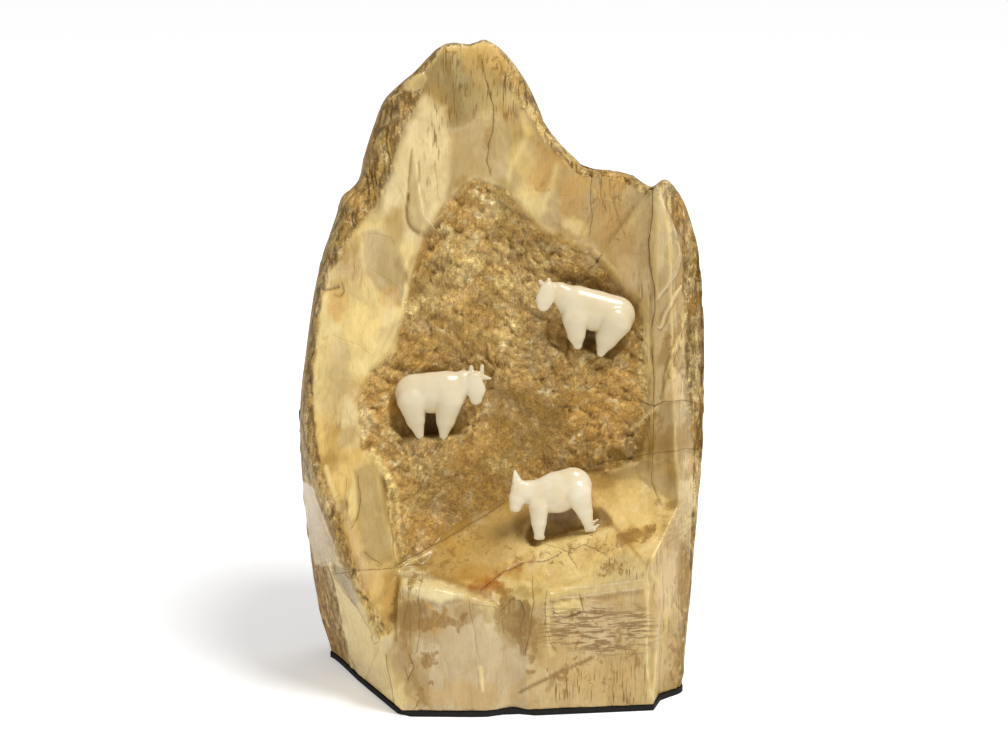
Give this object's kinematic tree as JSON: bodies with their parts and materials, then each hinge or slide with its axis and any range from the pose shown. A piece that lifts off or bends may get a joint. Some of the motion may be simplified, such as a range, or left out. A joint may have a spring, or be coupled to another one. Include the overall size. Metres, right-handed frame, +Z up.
{
  "type": "ivory mountain goat carving",
  "caption": "Chunk of fossil tusk ivory standing as a mountain, with small carved white mountain goats in hollows on its face and a thin black pad underneath.",
  "frame": {"origin": "centre of the part's box, on the underside of the pad", "axes": "+Z up towards the peak, -Y out of the carved front, +X to the right as seen from the front"},
  "size_m": [0.1131, 0.0719, 0.1797],
  "materials": {
    "tusk_ivory": "polished ivory with rough core and weathered skin",
    "goat_ivory": "polished white ivory",
    "pad": "black felt"
  },
  "bodies": {
    "root": {"mountain": "tusk_ivory", "goat_upper": "goat_ivory", "goat_middle": "goat_ivory", "goat_lower": "goat_ivory", "base_pad": "pad"}
  },
  "joints": []
}
